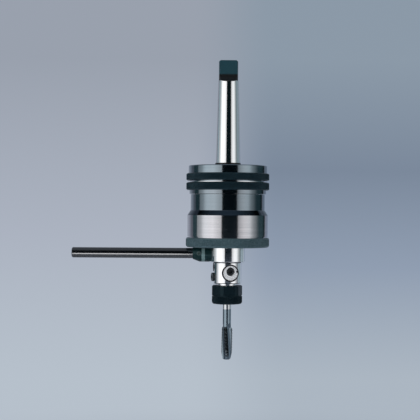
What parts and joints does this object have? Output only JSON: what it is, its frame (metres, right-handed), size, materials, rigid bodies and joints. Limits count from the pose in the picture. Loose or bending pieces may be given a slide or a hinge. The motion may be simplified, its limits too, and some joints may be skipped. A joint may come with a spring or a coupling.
{
  "type": "self-reversing tapping attachment",
  "caption": "Self-reversing tapping attachment: taper shank, round geared housing with knurled clutch rings, stop arm, sprung spindle and a rubber collet that holds a tap.",
  "frame": {"origin": "on the axis, at the gauge plane of the taper shank, 5 mm above its big end", "axes": "+Z along the axis towards the tang; the stop arm points along -X; the jaw screw in front faces -Y, turned 14 degrees towards +X"},
  "size_m": [0.1902, 0.0804, 0.2885],
  "materials": {
    "bright_steel": "ground and polished",
    "chrome": "polished",
    "casing_steel": "fine turned, polished",
    "black_steel": "blackened, satin",
    "knurled_black": "blackened, knurled",
    "gear_steel": "hardened",
    "bronze": "plain bush",
    "friction_lining": "moulded",
    "rubber": "matt",
    "felt": "pressed",
    "tap_steel": "ground"
  },
  "bodies": {
    "arbor": {"arbor": "bright_steel"},
    "drum": {"clutch_drum": "casing_steel", "pilot_bush": "bronze", "lower_friction_disc": "friction_lining", "upper_friction_disc": "friction_lining", "pressure_plate": "gear_steel", "disc_springs": "gear_steel", "drive_bell": "gear_steel", "drum_screws": "black_steel", "bearing_spacer": "gear_steel", "bearing_inner_race": "chrome", "return_spring": "gear_steel"},
    "spring_plate": {"spring_plate": "gear_steel"},
    "torque_cap": {"top_cap": "casing_steel", "cap_seal": "felt", "torque_ring": "knurled_black"},
    "lock_washer": {"lock_washer": "bright_steel"},
    "lock_ring": {"lock_ring": "knurled_black"},
    "housing": {"housing_waist": "casing_steel", "housing_body": "casing_steel", "bottom_ring": "knurled_black", "bearing_snap_ring": "black_steel", "bearing_outer_race": "chrome", "planet_carrier": "gear_steel", "planet_pins": "bright_steel", "planet_clips": "black_steel", "carrier_screws": "black_steel", "sun_bush": "bronze", "nose_sleeve": "chrome", "spindle_bush": "bronze", "spindle_seal": "rubber", "arm_boss": "black_steel", "arm_set_screw": "black_steel"},
    "ball_cage": {"bearing_balls": "chrome", "bearing_cage": "bronze"},
    "planet_1": {"planet_gear_1": "gear_steel"},
    "planet_2": {"planet_gear_2": "gear_steel"},
    "planet_3": {"planet_gear_3": "gear_steel"},
    "sun": {"sun_gear": "gear_steel"},
    "spindle": {"spindle": "chrome", "dog_hub": "gear_steel", "hub_nut": "black_steel", "spring_washer": "gear_steel", "spring_nut": "black_steel", "jaw_bushings": "bright_steel", "bushing_snap_rings": "black_steel", "side_screw_upper": "black_steel", "side_screw_lower": "black_steel"},
    "jaw_front": {"jaw_front": "gear_steel"},
    "jaw_back": {"jaw_back": "gear_steel"},
    "jaw_screw_front": {"jaw_screw_front": "black_steel"},
    "jaw_screw_back": {"jaw_screw_back": "black_steel"},
    "collet": {"collet_rubber": "rubber", "collet_blades": "gear_steel"},
    "nut": {"collet_nut": "black_steel"},
    "tap": {"tap": "tap_steel"},
    "stop_rod": {"stop_rod": "black_steel"}
  },
  "joints": [
    {"name": "clutch_slip", "type": "hinge", "parent": "arbor", "child": "drum", "pos_m": [0, 0, 0], "axis": [0, 0, 1], "continuous": true},
    {"name": "torque_setting", "type": "slide", "parent": "drum", "child": "spring_plate", "axis": [0, 0, -1], "range_m": [-0.0015, 0.00075], "deforming": ["disc_springs"]},
    {"name": "torque_ring_turn", "type": "hinge", "parent": "spring_plate", "child": "torque_cap", "pos_m": [0, 0, 0], "axis": [0, 0, -1], "range_deg": [-360.1, 180.1]},
    {"name": "lock_rise", "type": "slide", "parent": "drum", "child": "lock_washer", "axis": [0, 0, 1], "range_m": [0, 0.00025]},
    {"name": "lock_ring_turn", "type": "hinge", "parent": "lock_washer", "child": "lock_ring", "pos_m": [0, 0, 0], "axis": [0, 0, 1], "range_deg": [0, 60.1]},
    {"name": "housing_turn", "type": "hinge", "parent": "drum", "child": "housing", "pos_m": [0, 0, 0], "axis": [0, 0, 1], "continuous": true},
    {"name": "ball_cage_turn", "type": "hinge", "parent": "housing", "child": "ball_cage", "pos_m": [0, 0, 0], "axis": [0, 0, 1], "continuous": true},
    {"name": "sun_turn", "type": "hinge", "parent": "housing", "child": "sun", "pos_m": [0, 0, 0], "axis": [0, 0, 1], "continuous": true},
    {"name": "spindle_float", "type": "slide", "parent": "drum", "child": "spindle", "axis": [0, 0, -1], "range_m": [0, 0.0042], "stiffness_N_per_m": 1500, "springref_m": -0.012, "deforming": ["return_spring"]},
    {"name": "jaw_front_slide", "type": "slide", "parent": "spindle", "child": "jaw_front", "axis": [0.2419, -0.9703, 0], "range_m": [0, 0.0018]},
    {"name": "jaw_screw_front_turn", "type": "hinge", "parent": "jaw_front", "child": "jaw_screw_front", "pos_m": [0, 0, -0.10925], "axis": [0.2419, -0.9703, 0], "range_deg": [0, 648.1]},
    {"name": "jaw_back_slide", "type": "slide", "parent": "spindle", "child": "jaw_back", "axis": [-0.2419, 0.9703, 0], "range_m": [0, 0.0018]},
    {"name": "jaw_screw_back_turn", "type": "hinge", "parent": "jaw_back", "child": "jaw_screw_back", "pos_m": [0, 0, -0.10925], "axis": [-0.2419, 0.9703, 0], "range_deg": [0, 648.1]},
    {"name": "collet_slide", "type": "slide", "parent": "spindle", "child": "collet", "axis": [0, 0, -1], "range_m": [0, 0.003]},
    {"name": "nut_turn", "type": "hinge", "parent": "collet", "child": "nut", "pos_m": [0, 0, 0], "axis": [0, 0, -1], "range_deg": [0, 720.1]},
    {"name": "tap_slide", "type": "slide", "parent": "spindle", "child": "tap", "axis": [0, 0, -1], "range_m": [0, 0.045]},
    {"name": "stop_rod_slide", "type": "slide", "parent": "housing", "child": "stop_rod", "axis": [-1, 0, 0], "range_m": [0, 0.008]},
    {"name": "planet_1_turn", "type": "hinge", "parent": "housing", "child": "planet_1", "pos_m": [0.0225, 0, 0], "axis": [0, 0, 1], "continuous": true},
    {"name": "planet_2_turn", "type": "hinge", "parent": "housing", "child": "planet_2", "pos_m": [-0.01125, 0.01949, 0], "axis": [0, 0, 1], "continuous": true},
    {"name": "planet_3_turn", "type": "hinge", "parent": "housing", "child": "planet_3", "pos_m": [-0.01125, -0.01949, 0], "axis": [0, 0, 1], "continuous": true}
  ],
  "couplings": [
    {"joint": "torque_ring_turn", "follows": "torque_setting", "rad_per_m": 4188.8},
    {"joint": "lock_ring_turn", "follows": "lock_rise", "rad_per_m": 4188.8},
    {"joint": "jaw_screw_front_turn", "follows": "jaw_front_slide", "rad_per_m": 6283.2},
    {"joint": "jaw_screw_back_turn", "follows": "jaw_back_slide", "rad_per_m": 6283.2},
    {"joint": "nut_turn", "follows": "collet_slide", "rad_per_m": 4188.8},
    {"joint": "ball_cage_turn", "follows": "housing_turn", "ratio": -0.43868},
    {"joint": "sun_turn", "follows": "housing_turn", "ratio": 1.7273},
    {"joint": "planet_1_turn", "follows": "housing_turn", "ratio": -4.75},
    {"joint": "planet_2_turn", "follows": "housing_turn", "ratio": -4.75},
    {"joint": "planet_3_turn", "follows": "housing_turn", "ratio": -4.75}
  ]
}
